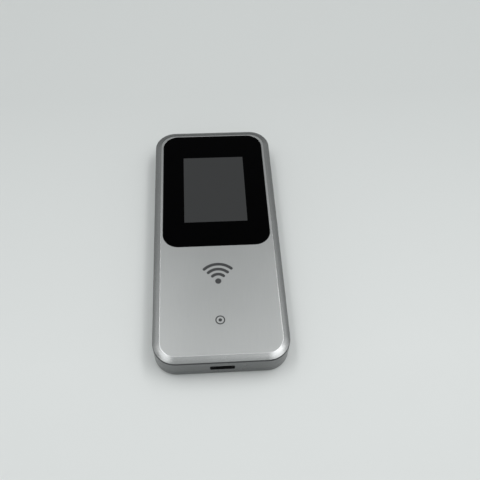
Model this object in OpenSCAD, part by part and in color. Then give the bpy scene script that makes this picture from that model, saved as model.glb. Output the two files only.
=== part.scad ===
// Mobile hotspot: a flat battery-powered router with a bevelled face plate, a black display window,
// a removable back cover and battery, a side button and two covered antenna jacks.
// X is the width, +Y points to the display end, -Y to the USB end, and Z is up from the table.

/* [Case] */
// Overall width
body_w = 71.6; // [71:0.1:76]
// Overall length
body_l = 158; // [157:0.5:164]
// Overall thickness
body_t = 15.5; // [15.5:0.1:17]
// Radius of the four corners, seen from above
corner_r = 12.3; // [11:0.1:13]
// Thickness of the wall ring
wall_t = 1.6; // [1.5:0.05:1.7]
// Height of the line where the back cover meets the wall ring
parting_z = 4; // [3.8:0.1:4.2]

/* [Face plate] */
// Width of the bevel round the face
bevel_w = 3.7; // [2:0.1:4]
// Height of the bevel
bevel_h = 1.3; // [0.6:0.1:1.3]
// Thickness of the face plate
plate_t = 1.3; // [1.2:0.1:1.4]
// Height of the seam groove under the face plate
seam_h = 0.3; // [0.2:0.05:0.4]
// Depth of the seam groove
seam_depth = 0.4; // [0.2:0.05:0.5]

/* [Display] */
// Width of the black window
lens_w = 61.6; // [60:0.1:62]
// Length of the black window
lens_l = 83.7; // [82:0.1:84]
// Corner radius of the black window
lens_r = 9; // [7:0.1:10]
// Distance from the window to the far end of the case
lens_margin = 4.4; // [4.2:0.1:5]
// Thickness of the cover lens
lens_t = 1; // [0.8:0.1:1]
// Width of the lit area of the 2.4 inch display
active_w = 36.72; // [36:0.01:37]
// Length of the lit area of the 2.4 inch display
active_l = 48.96; // [48:0.01:49]

/* [Battery] */
// Width of the battery pack
battery_w = 51; // [49:0.5:51]
// Length of the battery pack
battery_l = 81; // [78:0.5:81]
// Thickness of the battery pack
battery_t = 7.4; // [6:0.1:7.4]
// Centre of the battery along the case
battery_y = -8; // [-9:0.1:-8]

/* [Side parts] */
// Place of the power button along the case
button_y = 45; // [42:0.5:46]
// Length of the power button
button_l = 13.6; // [12:0.1:14]
// Height of the power button
button_h = 2.9; // [2.4:0.1:3]
// How far the power button stands out of the wall
button_out = 0.5; // [0.3:0.1:0.6]
// Place of the antenna jacks along the case
jack_y = -58; // [-59:0.1:-57]
// Height of the antenna jacks' axis
jack_z = 7.4; // [7.3:0.05:7.5]
// Radius of the antenna jack's bore
jack_bore_r = 1.5; // [1.4:0.05:1.6]
// Depth of the antenna jack's bore
jack_bore_l = 2.5; // [2:0.1:3]

/* [Hidden] */
$fn = 48;

// Colours
silver = [0.68, 0.69, 0.69];
black = [0.03, 0.03, 0.035];
dark_plastic = [0.12, 0.12, 0.13];
steel = [0.75, 0.76, 0.78];
gold = [0.85, 0.68, 0.3];
board_green = [0.05, 0.22, 0.14];
chip_grey = [0.1, 0.1, 0.11];
white_plastic = [0.92, 0.92, 0.9];
foil_grey = [0.35, 0.36, 0.38];
pad_blue = [0.45, 0.6, 0.72];

// Case outline and heights
half_w = body_w / 2;
half_l = body_l / 2;
fit_gap = 0.1;                       // between fixed pieces that only lie beside each other
cut_over = 1;                        // how far a cutter runs past the face it opens
cover_floor = 1.2;                   // thickness of the back cover's floor
cover_wall = 1.5;                    // thickness of the back cover's rim
foot_r = 1.2;                        // radius of the back cover's bottom edge
lip_z = body_t - bevel_h - 0.4;      // underside of the face plate's outer lip
seam_z = lip_z - seam_h;             // top of the wall ring
plate_z = body_t - plate_t;          // underside of the face plate
skin_z = 1.5;                        // underside of the rear frame
skin_t = 1;
pcb_z = 9.7;
pcb_t = 0.8;
pcb_top = pcb_z + pcb_t;
pcb_w = 67;
pcb_l = 153;
pcb_r = 10;
skirt_z = pcb_top + 0.5;             // lower end of the face plate's skirt
skirt_t = 1;
skirt_out = wall_t + fit_gap;        // inset of the skirt's outer side
skirt_in = skirt_out + skirt_t;      // inset of the skirt's inner side
tongue_z = 2.6;                      // lower end of the wall ring's tongue
tongue_out = cover_wall + 0.15;
tongue_in = 2.4;
tongue_top = parting_z + 1;

// Snap tabs of the back cover, and the pockets they stand in
tab_l = 6;
tab_t = 0.5;
tab_h = 0.9;
tab_gap = 0.15;
tab_inset = 0.95;
side_tabs_y = [-36, 0, 30, 62];
end_tabs_x = [-18, 18];
notch_w = 12;                        // fingernail notch
notch_h = 0.8;
notch_depth = 0.7;

// Display stack, measured down from the face
lens_y = half_l - lens_margin - lens_l / 2;
lens_z = body_t - lens_t;
lens_gap = 0.05;
adhesive_t = 0.15;
ledge_w = 3;                         // width of the ledge that carries the lens
ledge_t = 0.8;
ledge_z = lens_z - adhesive_t - ledge_t;
ledge_rim = 1.2;                     // how far the ledge runs outside the window
lcd_w = 42.7;
lcd_l = 60.3;
lcd_y = lens_y - 3.75;
lcd_top = body_t - 1.25;
panel_t = 1.1;
backlight_t = 1.2;
active_y = lcd_y + 3.1;
tray_w = 50;
tray_l = 70;
tray_t = 0.3;
tray_z = lcd_top - panel_t - backlight_t - 0.05 - tray_t;
tray_rim_z = ledge_z - 0.05;
flex_w = 12;
flex_t = 0.12;
flex_z = pcb_top + 0.9;
flex_end_y = lcd_y - tray_l / 2 - 6.2;

// Screws
corner_screw_x = 29.5;
corner_screw_y = 69.5;
middle_screw_x = 30.4;
screws = concat(
    [for (sx = [-1, 1], sy = [-1, 1]) [sx * corner_screw_x, sy * corner_screw_y]],
    [for (sx = [-1, 1]) [sx * middle_screw_x, battery_y]]
);
screw_r = 0.8;
screw_head_r = 1.5;
screw_head_h = 0.8;
screw_seat_z = 8.3;
screw_top = plate_z - 0.9;
well_r = 1.7;
well_wall = 1;
boss_r = 2.1;
thread_gap = 0.02;

// Battery and its bay
battery_z = 1.65;
battery_cap_l = 5;
wrap_t = 0.05;
bay_gap_x = 0.5;
bay_gap_y = 0.6;
bay_wall = 1;
bay_top = 9.15;
bay_floor_t = 0.5;
bay_w = battery_w + 2 * bay_gap_x;
bay_l = battery_l + 2 * bay_gap_y;
battery_end = battery_y + battery_l / 2;
contact_x = [-4.5, -1.5, 1.5, 4.5];
contact_w = 1.8;
contact_h = 3.2;
contact_z = battery_z + battery_t / 2;
connector_w = 12;
connector_l = 5;
connector_h = 5;

// USB-C inlet
usb_z = 7.25;
usb_slot_w = 12.8;
usb_slot_h = 4.4;
usb_slot_r = 0.9;
usb_w = 8.94;
usb_h = 3.2;
usb_skin = 0.3;
usb_mouth_w = usb_w - 2 * usb_skin;
usb_mouth_h = usb_h - 2 * usb_skin;
usb_mouth_y = -half_l + 0.8;
usb_back_y = usb_mouth_y + 7.3;
gasket_y = -half_l + 0.4;

// Antenna jacks and their covers
jack_mouth = half_w - 2.6;
jack_r = 2.2;
jack_l = 7;
insulator_r = 1.2;
insulator_l = 2;
cap_t = 1;
cap_h = 5.6;
cap_l = 11.8;
cap_r = 1;
cap_gap = 0.12;
hinge_x = half_w - cap_t / 2;
hinge_y = jack_y + 5.8;
cap_y0 = hinge_y + cap_t / 2 - cap_l;
plug_r = 2.15;                       // boss on the cover that fills the wall's opening
plug_l = 1;
port_r = 2.5;
cap_pin_r = 0.25;
cap_pin_gap = 0.02;
cap_pin_l = cap_h + 0.9;

// Power button
button_z = 8.75;
button_gap = 0.15;
button_r = button_h / 2 - 0.05;
button_flange = 0.6;
button_flange_l = button_l + 1.6;
button_flange_h = button_h + 1;
button_flange_x = half_w - wall_t - 0.2;
plunger_w = 2;
plunger_h = 1;
plunger_in = 31.6;
plunger_gap = 0.05;
switch_x0 = 28.9;
switch_x1 = 32.3;
switch_w = 6;
switch_h = 2;

// Reset switch and SIM socket, both under the board
reset_x = 20;
reset_y = 60;
reset_body = 3.6;
reset_h = 1.5;
reset_plunger_r = 0.7;
reset_plunger_l = 1.2;
reset_out = 0.6;
pinhole_r = 0.8;
sim_x = -8;
sim_y = 46;
sim_w = 14.5;
sim_l = 12;
sim_h = 1.4;
sim_skin = 0.2;
sim_window = 20;

// Shields, chips, antennas and NFC coil
shield_t = 0.2;
pad_t = 0.5;
modem_can = [48, 30, 1.6];
modem_can_y = -31;
radio_can = [44, 40, 0.95];
radio_can_y = 27;
nfc_y = -55.7;
nfc_w = 44;
nfc_l = 36;
nfc_t = 0.15;
nfc_turn = 0.7;
nfc_pitch = 1.2;
nfc_turns = 4;
wifi_l = 40;
wifi_y = -20;
wifi_h = 5;
wifi_t = 0.15;

// Rounded rectangle about the origin
module rounded(w, l, r) {
    square([w - 2 * r, l], center = true);
    square([w, l - 2 * r], center = true);
    for (sx = [-1, 1], sy = [-1, 1])
        translate([sx * (w / 2 - r), sy * (l / 2 - r)]) circle(r);
}

// Flat plate with round corners, from z0 up
module plate(w, l, r, z0, h, y = 0, x = 0) {
    translate([x, y, z0]) linear_extrude(h) rounded(w, l, r);
}

// The case's own outline, moved inward by inset
module outline(inset) {
    rounded(body_w - 2 * inset, body_l - 2 * inset, corner_r - inset);
}

// Ring that follows the case between two insets, from z0 to z1
module band(z0, z1, outer, inner) {
    translate([0, 0, z0]) linear_extrude(z1 - z0) difference() {
        outline(outer);
        outline(inner);
    }
}

// Block from its lowest corner to its highest
module block(low, high) {
    translate(low) cube(high - low);
}

// Sweep of a section round the case's edge; the section's x is measured outward from the corners'
// centres and its y is the height
module round_edge() {
    for (sx = [-1, 1]) {
        translate([sx * (half_w - corner_r), 0, 0]) mirror([sx < 0 ? 1 : 0, 0, 0])
            rotate([90, 0, 0]) linear_extrude(body_l - 2 * corner_r, center = true) children();
        translate([0, sx * (half_l - corner_r), 0]) rotate(sx * 90)
            rotate([90, 0, 0]) linear_extrude(body_w - 2 * corner_r, center = true) children();
    }
    for (quarter = [0:3])
        translate([
            (quarter == 0 || quarter == 3 ? 1 : -1) * (half_w - corner_r),
            (quarter < 2 ? 1 : -1) * (half_l - corner_r),
            0
        ])
            rotate(quarter * 90) rotate_extrude(angle = 90) children();
}

// Rounded rectangle in the plane of a side wall, run inward along X from x0
module side_slot(x0, depth, y, z, w, h, r) {
    translate([x0, y, z]) rotate([0, -90, 0]) linear_extrude(depth) rounded(h, w, r);
}

// Rounded rectangle in the plane of an end wall, run from y0 towards +Y
module end_slot(y0, depth, z, w, h, r) {
    translate([0, y0 + depth, z]) rotate([90, 0, 0]) linear_extrude(depth) rounded(w, h, r);
}

// Points of an arc about c, from angle a0 to a1
function arc(c, r, a0, a1, steps = 6) =
    [for (i = [0:steps]) let (a = a0 + (a1 - a0) * i / steps) c + r * [cos(a), sin(a)]];

// Cylinder along X from x0 to x1
module axle(x0, x1, y, z, r) {
    translate([x0, y, z]) rotate([0, 90, 0]) cylinder(r = r, h = x1 - x0);
}

// Mirrors its children to the left or keeps them on the right
module on_side(side) {
    mirror([side < 0 ? 1 : 0, 0, 0]) children();
}

module bevel_section() {
    inner = corner_r - bevel_w;
    outer = corner_r + cut_over;
    polygon([
        [inner, body_t],
        [corner_r, body_t - bevel_h],
        [outer, body_t - bevel_h],
        [outer, body_t + cut_over],
        [inner, body_t + cut_over]
    ]);
}

module foot_section() {
    difference() {
        translate([corner_r - foot_r, -cut_over]) square([foot_r + cut_over, foot_r + cut_over]);
        translate([corner_r - foot_r, foot_r]) circle(foot_r);
    }
}

// Places of the back cover's tabs: its children stand at [along, outward] from each wall's middle
module at_tabs() {
    for (sx = [-1, 1], y = side_tabs_y)
        translate([0, y, 0]) on_side(sx) translate([half_w, 0, 0]) children();
    for (sy = [-1, 1], x = end_tabs_x)
        translate([x, 0, 0]) rotate(sy * 90) translate([half_l, 0, 0]) children();
}

module back_cover() {
    color(silver) difference() {
        union() {
            difference() {
                linear_extrude(parting_z) outline(0);
                translate([0, 0, cover_floor]) linear_extrude(parting_z) outline(cover_wall);
                round_edge() foot_section();
            }
            at_tabs()
                translate([-tab_inset - tab_t, -tab_l / 2, cover_floor])
                    cube([tab_t, tab_l, parting_z + tab_h - cover_floor]);
        }
        translate([-notch_w / 2, half_l - notch_depth, parting_z - notch_h])
            cube([notch_w, notch_depth + cut_over, notch_h + cut_over]);
    }
}

module graphite_sheet() {
    color(chip_grey) plate(56, 96, 3, cover_floor, 0.1, battery_y);
}

module main_housing() {
    recess_z = cap_h + 2 * cap_gap;
    recess_l = cap_l + 2 * cap_gap;
    recess_x = half_w - cap_t - fit_gap / 2;
    color(silver) difference() {
        union() {
            band(parting_z, seam_z, 0, wall_t);
            band(parting_z, tongue_top, wall_t / 2, tongue_in);
            band(tongue_z, parting_z + fit_gap, tongue_out, tongue_in);
        }
        at_tabs()
            translate([-wall_t, -tab_l / 2 - tab_gap, parting_z - cut_over])
                cube([wall_t - tab_inset + tab_gap, tab_l + 2 * tab_gap, tab_h + tab_gap + cut_over]);
        end_slot(-half_l - cut_over, wall_t + 2 * cut_over, usb_z, usb_slot_w, usb_slot_h, usb_slot_r);
        side_slot(half_w + cut_over, wall_t + 2 * cut_over, button_y, button_z,
            button_l + 2 * button_gap, button_h + 2 * button_gap, button_r + button_gap);
        for (side = [-1, 1]) on_side(side) {
            side_slot(half_w + cut_over, half_w + cut_over - recess_x, cap_y0 + cap_l / 2, jack_z,
                recess_l, recess_z, cap_r + cap_gap);
            // square corners at the hinge end, so that the swung cover clears them
            block(
                [recess_x, hinge_y - cap_r, jack_z - recess_z / 2],
                [half_w + cut_over, cap_y0 + cap_l + cap_gap, jack_z + recess_z / 2]
            );
            axle(jack_mouth, half_w, jack_y, jack_z, port_r);
            translate([hinge_x, hinge_y, jack_z]) cylinder(r = cap_pin_r, h = cap_pin_l, center = true);
        }
    }
}

module front_cover() {
    color(silver) difference() {
        union() {
            difference() {
                union() {
                    translate([0, 0, lip_z]) linear_extrude(body_t - lip_z) outline(0);
                    translate([0, 0, seam_z]) linear_extrude(seam_h) outline(seam_depth);
                    translate([0, 0, skirt_z]) linear_extrude(seam_z - skirt_z) outline(skirt_out);
                }
                translate([0, 0, skirt_z - cut_over])
                    linear_extrude(plate_z - skirt_z + cut_over) outline(skirt_in);
                round_edge() bevel_section();
            }
            plate(lens_w + 2 * ledge_rim, lens_l + 2 * ledge_rim, lens_r + ledge_rim,
                ledge_z, plate_z - ledge_z + fit_gap, lens_y);
            for (at = screws)
                translate([at.x, at.y, pcb_top]) cylinder(r = boss_r, h = plate_z + fit_gap - pcb_top);
        }
        plate(lens_w + 2 * lens_gap, lens_l + 2 * lens_gap, lens_r + lens_gap,
            lens_z - adhesive_t, lens_t + adhesive_t + cut_over, lens_y);
        plate(lens_w - 2 * ledge_w, lens_l - 2 * ledge_w, lens_r - ledge_w,
            ledge_z - cut_over, 2 * cut_over + ledge_t, lens_y);
        for (at = screws)
            translate([at.x, at.y, pcb_top - cut_over])
                cylinder(r = screw_r + thread_gap, h = screw_top + cut_over + fit_gap - pcb_top);
    }
}

module rear_frame() {
    rib_x0 = bay_w / 2 + bay_wall / 2;
    rib_x1 = half_w - tongue_in - 0.2;
    rib_t = 0.8;
    notch = connector_w / 2 + 0.5;
    color(dark_plastic) difference() {
        union() {
            translate([0, 0, skin_z]) linear_extrude(skin_t) outline(cover_wall + 0.2);
            plate(bay_w + 2 * bay_wall, bay_l + 2 * bay_wall, 2 + bay_wall, skin_z,
                bay_top + bay_floor_t - skin_z, battery_y);
            for (at = screws)
                translate([at.x, at.y, skin_z]) cylinder(r = well_r + well_wall, h = pcb_z - skin_z);
            for (side = [-1, 1], y = [-44, -30, 8, 22])
                on_side(side) block([rib_x0, y, skin_z], [rib_x1, y + rib_t, pcb_z - fit_gap]);
        }
        plate(bay_w, bay_l, 2, skin_z - cut_over, bay_top - skin_z + cut_over, battery_y);
        block(
            [-notch, battery_end + bay_gap_y - cut_over, contact_z - 1],
            [notch, battery_end + bay_gap_y + bay_wall + cut_over, pcb_z]
        );
        translate([sim_x, sim_y + 1, skin_z - cut_over])
            linear_extrude(skin_t + 2 * cut_over) rounded(sim_window, sim_window, 2);
        translate([reset_x, reset_y, skin_z - cut_over])
            cylinder(r = pinhole_r, h = skin_t + 2 * cut_over);
        for (at = screws) translate([at.x, at.y, skin_z - cut_over]) {
            cylinder(r = well_r, h = screw_seat_z - skin_z + cut_over);
            cylinder(r = screw_r + 0.05, h = pcb_z - skin_z + 2 * cut_over);
        }
    }
}

module display_lens() {
    color(black) plate(lens_w, lens_l, lens_r, lens_z, lens_t, lens_y);
}

module lens_adhesive() {
    color(dark_plastic) difference() {
        plate(lens_w - 0.6, lens_l - 0.6, lens_r - 0.3, lens_z - adhesive_t, adhesive_t, lens_y);
        plate(lens_w - 2 * ledge_w + 0.4, lens_l - 2 * ledge_w + 0.4, lens_r - ledge_w + 0.2,
            lens_z - adhesive_t - cut_over, adhesive_t + 2 * cut_over, lens_y);
    }
}

module lcd_panel() {
    color(chip_grey) plate(lcd_w, lcd_l, 0.4, lcd_top - panel_t, panel_t, lcd_y);
}

module lcd_backlight() {
    color(white_plastic)
        plate(lcd_w, lcd_l, 0.4, lcd_top - panel_t - backlight_t, backlight_t, lcd_y);
}

module display_frame() {
    rim_t = 0.4;
    color(steel) difference() {
        plate(tray_w, tray_l, 3, tray_z, tray_rim_z - tray_z, lcd_y);
        difference() {
            plate(tray_w - 2 * rim_t, tray_l - 2 * rim_t, 3 - rim_t, tray_z + tray_t,
                tray_rim_z - tray_z, lcd_y);
            for (side = [-1, 1]) on_side(side) block(
                [lcd_w / 2 + 0.2, lcd_y - lcd_l / 4, tray_z],
                [lcd_w / 2 + 0.2 + rim_t, lcd_y + lcd_l / 4, tray_z + tray_t + backlight_t]
            );
        }
        block(
            [-flex_w / 2 - 1, lcd_y - tray_l / 2 - cut_over, tray_z + tray_t],
            [flex_w / 2 + 1, lcd_y - tray_l / 2 + cut_over, tray_rim_z + cut_over]
        );
    }
}

module lcd_gasket() {
    color(dark_plastic) difference() {
        plate(lcd_w - 0.4, lcd_l - 0.4, 0.4, lcd_top, lens_z - lcd_top, lcd_y);
        plate(active_w + 1.4, active_l + 1.4, 0.5, lcd_top - cut_over, lens_z - lcd_top + 2 * cut_over,
            active_y);
    }
}

// Ribbon that leaves the panel, turns down past the tray's edge and ends on its connector
module lcd_flex() {
    bend_r = 0.6;
    z_high = lcd_top - panel_t + fit_gap + 0.05;
    y_drop = lcd_y - tray_l / 2 - 1.2;
    high_bend = [y_drop + bend_r, z_high - bend_r];
    low_bend = [y_drop - bend_r, flex_z + flex_t + bend_r];
    color(gold) rotate([90, 0, 90]) linear_extrude(flex_w, center = true) polygon(concat(
        [[lcd_y - lcd_l / 2, z_high]],
        arc(high_bend, bend_r, 90, 180),
        arc(low_bend, bend_r, 0, -90),
        [[flex_end_y, flex_z + flex_t], [flex_end_y, flex_z]],
        arc(low_bend, bend_r + flex_t, -90, 0),
        arc(high_bend, bend_r - flex_t, 180, 90),
        [[lcd_y - lcd_l / 2, z_high - flex_t]]
    ));
}

module lcd_connector() {
    color(dark_plastic) plate(flex_w - 2, 3, 0.3, pcb_top, flex_z - pcb_top, flex_end_y + 1.7);
}

module main_pcb() {
    button_notch = button_flange_l + 1.4;
    color(board_green) difference() {
        plate(pcb_w, pcb_l, pcb_r, pcb_z, pcb_t);
        for (at = screws)
            translate([at.x, at.y, pcb_z - cut_over]) cylinder(r = 1, h = pcb_t + 2 * cut_over);
        block(
            [button_flange_x - 1.4, button_y - button_notch / 2, pcb_z - cut_over],
            [half_w, button_y + button_notch / 2, pcb_top + cut_over]
        );
    }
}

// Chip package on the board's upper side
module chip(w, l, h, x, y) {
    color(chip_grey) plate(w, l, 0.3, pcb_top, h, y, x);
}

module modem_chip() {
    chip(15, 13, 1, -10, modem_can_y);
}

module processor_chip() {
    chip(12, 12, 1, 11, modem_can_y);
}

module memory_chip() {
    chip(9, 11, 0.6, 10, radio_can_y - 6);
}

module wifi_chip() {
    chip(8, 8, 0.6, -11, radio_can_y + 4);
}

// Shield can: a lid with walls, open underneath, with rows of vent holes
module shield(size, y, holes_x, holes_y) {
    color(steel) difference() {
        plate(size.x, size.y, 0.8, pcb_top, size.z, y);
        plate(size.x - 2 * shield_t, size.y - 2 * shield_t, 0.6, pcb_top - cut_over,
            size.z - shield_t + cut_over, y);
        for (x = holes_x, dy = holes_y)
            translate([x, y + dy, pcb_top]) cylinder(r = 0.5, h = size.z + cut_over);
    }
}

module modem_shield() {
    shield(modem_can, modem_can_y, [-20, 20], [-9:3:9]);
}

module radio_shield() {
    shield(radio_can, radio_can_y, [-18, 0, 18], [-15:3:15]);
}

module thermal_pad() {
    color(pad_blue) plate(36, 22, 0.5, pcb_top + modem_can.z, pad_t, modem_can_y);
}

module heat_spreader() {
    color(steel) plate(52, 34, 2, pcb_top + modem_can.z + pad_t, 0.3, modem_can_y);
}

// USB-C receptacle: a rounded steel tube closed at the back, with feet up to the board
module usb_shell() {
    length = usb_back_y - usb_mouth_y;
    color(steel) difference() {
        union() {
            end_slot(usb_mouth_y, length, usb_z, usb_w, usb_h, usb_h / 2 - 0.1);
            for (side = [-1, 1], y = [usb_mouth_y + 2.4, usb_back_y - 2])
                on_side(side) block([usb_w / 2 - 1.6, y, usb_z], [usb_w / 2 - 1.2, y + 1, pcb_z]);
        }
        end_slot(usb_mouth_y - cut_over, length + cut_over - usb_skin, usb_z, usb_mouth_w, usb_mouth_h,
            usb_mouth_h / 2 - 0.1);
    }
}

module usb_tongue() {
    base_l = 1.2;
    base_y = usb_back_y - usb_skin - base_l;
    tongue_w = 6.8;
    tongue_t = 0.7;
    color(dark_plastic) union() {
        end_slot(base_y, base_l, usb_z, usb_mouth_w - fit_gap, usb_mouth_h - fit_gap,
            usb_mouth_h / 2 - 0.15);
        block(
            [-tongue_w / 2, usb_mouth_y + 0.9, usb_z - tongue_t / 2],
            [tongue_w / 2, base_y + base_l / 2, usb_z + tongue_t / 2]
        );
    }
}

// Rubber surround that fills the wall's opening, with a flange behind the wall
module usb_gasket() {
    flange_t = 0.5;
    color(black) difference() {
        union() {
            end_slot(gasket_y, wall_t + flange_t / 2, usb_z, usb_slot_w, usb_slot_h, usb_slot_r);
            end_slot(-half_l + wall_t, flange_t, usb_z, usb_slot_w + 1.6, usb_slot_h, usb_slot_r);
        }
        end_slot(gasket_y - cut_over, wall_t + 2 * flange_t + 2 * cut_over, usb_z, usb_w, usb_h,
            usb_h / 2 - 0.1);
    }
}

// Antenna jack: a barrel on a square base that hangs from the board
module antenna_jack(side) {
    base_l = 5;
    base_w = 5.6;
    back = jack_mouth - jack_l;
    color(gold) on_side(side) difference() {
        union() {
            axle(back, jack_mouth, jack_y, jack_z, jack_r);
            block(
                [back - 0.6, jack_y - base_w / 2, jack_z - jack_r],
                [back - 0.6 + base_l, jack_y + base_w / 2, pcb_z]
            );
        }
        axle(jack_mouth - jack_bore_l, jack_mouth + cut_over, jack_y, jack_z, jack_bore_r);
        axle(jack_mouth - jack_bore_l - insulator_l, jack_mouth, jack_y, jack_z, insulator_r);
    }
}

module left_antenna_jack() {
    antenna_jack(-1);
}

module right_antenna_jack() {
    antenna_jack(1);
}

module jack_insulator(side) {
    x0 = jack_mouth - jack_bore_l - insulator_l;
    color(white_plastic) on_side(side) difference() {
        axle(x0, x0 + insulator_l, jack_y, jack_z, insulator_r);
        axle(x0 + insulator_l / 2, x0 + insulator_l + cut_over, jack_y, jack_z, 0.35);
    }
}

module left_jack_insulator() {
    jack_insulator(-1);
}

module right_jack_insulator() {
    jack_insulator(1);
}

// Port cover: a flush plate that turns on a pin at its rounded end, with a boss that fills the hole
module port_cover(side) {
    color(silver) on_side(side) difference() {
        union() {
            intersection() {
                translate([0, 0, jack_z - cap_h / 2]) linear_extrude(cap_h) {
                    translate([hinge_x - cap_t / 2, cap_y0]) square([cap_t, hinge_y - cap_y0]);
                    translate([hinge_x, hinge_y]) circle(cap_t / 2);
                }
                side_slot(half_w + cut_over, cap_t + 2 * cut_over, cap_y0 + cap_l / 2, jack_z,
                    cap_l, cap_h, cap_r);
            }
            axle(half_w - cap_t - plug_l, half_w - cap_t / 2, jack_y, jack_z, plug_r);
        }
        translate([hinge_x, hinge_y, jack_z])
            cylinder(r = cap_pin_r + cap_pin_gap, h = cap_h + cut_over, center = true);
    }
}

module left_port_cover() {
    port_cover(-1);
}

module right_port_cover() {
    port_cover(1);
}

module port_cover_pins() {
    color(steel) for (side = [-1, 1]) on_side(side)
        translate([hinge_x, hinge_y, jack_z]) cylinder(r = cap_pin_r, h = cap_pin_l, center = true);
}

// Power button: the cap in the wall's slot, and the flange that keeps it inside
module power_button() {
    color(silver) union() {
        side_slot(half_w + button_out, half_w + button_out - button_flange_x, button_y, button_z,
            button_l, button_h, button_r);
        side_slot(button_flange_x, button_flange, button_y, button_z, button_flange_l,
            button_flange_h, 1);
    }
}

module power_plunger() {
    color(dark_plastic) block(
        [plunger_in, button_y - plunger_w / 2, button_z - plunger_h / 2],
        [button_flange_x - button_flange, button_y + plunger_w / 2, button_z + plunger_h / 2]
    );
}

module power_switch() {
    bore_w = plunger_w / 2 + plunger_gap;
    bore_h = plunger_h / 2 + plunger_gap;
    color(steel) difference() {
        block(
            [switch_x0, button_y - switch_w / 2, pcb_z - switch_h],
            [switch_x1, button_y + switch_w / 2, pcb_z]
        );
        block(
            [plunger_in - 0.5, button_y - bore_w, button_z - bore_h],
            [switch_x1 + cut_over, button_y + bore_w, button_z + bore_h]
        );
    }
}

module reset_switch() {
    bore_l = reset_plunger_l - reset_out + 0.4;
    color(dark_plastic) difference() {
        plate(reset_body, reset_body, 0.3, pcb_z - reset_h, reset_h, reset_y, reset_x);
        translate([reset_x, reset_y, pcb_z - reset_h - cut_over])
            cylinder(r = reset_plunger_r + 0.03, h = bore_l + cut_over);
    }
}

module reset_plunger() {
    color(white_plastic) translate([reset_x, reset_y, pcb_z - reset_h - reset_out])
        cylinder(r = reset_plunger_r, h = reset_plunger_l);
}

// SIM socket: a thin steel cover with a card slot that opens towards the battery
module sim_socket() {
    color(steel) difference() {
        plate(sim_w, sim_l, 0.4, pcb_z - sim_h, sim_h, sim_y, sim_x);
        block(
            [sim_x - sim_w / 2 + 1, sim_y - sim_l / 2 - cut_over, pcb_z - sim_h + sim_skin],
            [sim_x + sim_w / 2 - 1, sim_y + sim_l / 2 - 1, pcb_z - sim_h + sim_skin + 0.75]
        );
        plate(5, 6, 0.5, pcb_z - sim_h - cut_over, sim_skin + cut_over, sim_y + 1, sim_x);
    }
}

module battery_connector() {
    y0 = battery_end + 0.4;
    finger_l = 0.3;
    color(gold) union() {
        block([-connector_w / 2, y0, pcb_z - connector_h], [connector_w / 2, y0 + connector_l, pcb_z]);
        for (x = contact_x) block(
            [x - 0.4, y0 - finger_l, contact_z],
            [x + 0.4, y0 + finger_l, contact_z + 1.2]
        );
    }
}

// Moulded antenna carrier: an open-topped tray with a raised zigzag trace on its outer side
module antenna_carrier(w, l, x, y, facing) {
    wall = 0.9;
    z0 = skin_z + skin_t + 0.4;
    trace_t = 0.12;
    h = pcb_z - fit_gap - z0;
    teeth = floor((w - 4) / 4);
    color(dark_plastic) translate([x, y, z0]) union() {
        difference() {
            linear_extrude(h) rounded(w, l, 1);
            translate([0, 0, wall]) linear_extrude(h) rounded(w - 2 * wall, l - 2 * wall, 0.5);
        }
        for (i = [0:teeth - 1]) {
            x0 = -teeth * 2 + 4 * i;
            rise = i % 2 == 0 ? 1 : h - 2;
            translate([0, facing * l / 2, 0]) {
                translate([x0, -trace_t, 1]) cube([1, 2 * trace_t, h - 2]);
                translate([x0, -trace_t, rise]) cube([4, 2 * trace_t, 1]);
            }
        }
    }
}

module far_antenna() {
    antenna_carrier(50, 9, 0, half_l - 8, 1);
}

module near_left_antenna() {
    antenna_carrier(16, 8, -17, -half_l + 7.5, -1);
}

module near_right_antenna() {
    antenna_carrier(16, 8, 17, -half_l + 7.5, -1);
}

// Flexible antenna stuck on the inside of a side wall
module wifi_antenna(side) {
    x = half_w - wall_t;
    mid_z = (tongue_top + skirt_z) / 2;
    color(gold) on_side(side) difference() {
        side_slot(x, wifi_t, wifi_y, mid_z, wifi_l, wifi_h, 0.5);
        side_slot(x + cut_over, wifi_t + 2 * cut_over, wifi_y - 6, mid_z, wifi_l - 20, 0.8, 0.2);
    }
}

module left_wifi_antenna() {
    wifi_antenna(-1);
}

module right_wifi_antenna() {
    wifi_antenna(1);
}

module nfc_coil() {
    color(gold) for (turn = [0:nfc_turns - 1]) difference() {
        plate(nfc_w - 2 * turn * nfc_pitch, nfc_l - 2 * turn * nfc_pitch, 6 - turn * nfc_pitch,
            plate_z - nfc_t, nfc_t, nfc_y);
        plate(nfc_w - 2 * turn * nfc_pitch - 2 * nfc_turn, nfc_l - 2 * turn * nfc_pitch - 2 * nfc_turn,
            6 - turn * nfc_pitch - nfc_turn, plate_z - nfc_t - cut_over, nfc_t + 2 * cut_over, nfc_y);
    }
}

module nfc_ferrite() {
    color(chip_grey) plate(nfc_w + 2, nfc_l + 2, 2, plate_z - 2 * nfc_t, nfc_t, nfc_y);
}

module case_screws() {
    drive_l = 1.6;
    drive_w = 0.3;
    drive_depth = 0.45;
    color(steel) for (at = screws) translate([at.x, at.y, 0]) difference() {
        union() {
            translate([0, 0, screw_seat_z]) cylinder(r = screw_r, h = screw_top - screw_seat_z);
            translate([0, 0, screw_seat_z - screw_head_h]) cylinder(r = screw_head_r, h = screw_head_h);
        }
        for (turn = [0, 90]) rotate(turn)
            translate([-drive_l / 2, -drive_w / 2, screw_seat_z - screw_head_h - cut_over])
                cube([drive_l, drive_w, cut_over + drive_depth]);
    }
}

module id_label() {
    color(white_plastic) plate(40, 30, 1, bay_top - wrap_t, wrap_t, battery_y);
}

module battery_cell() {
    length = battery_l - battery_cap_l;
    color(foil_grey) plate(battery_w - 2 * wrap_t, length, 1.5, battery_z + wrap_t,
        battery_t - 2 * wrap_t, battery_y - battery_cap_l / 2);
}

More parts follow.
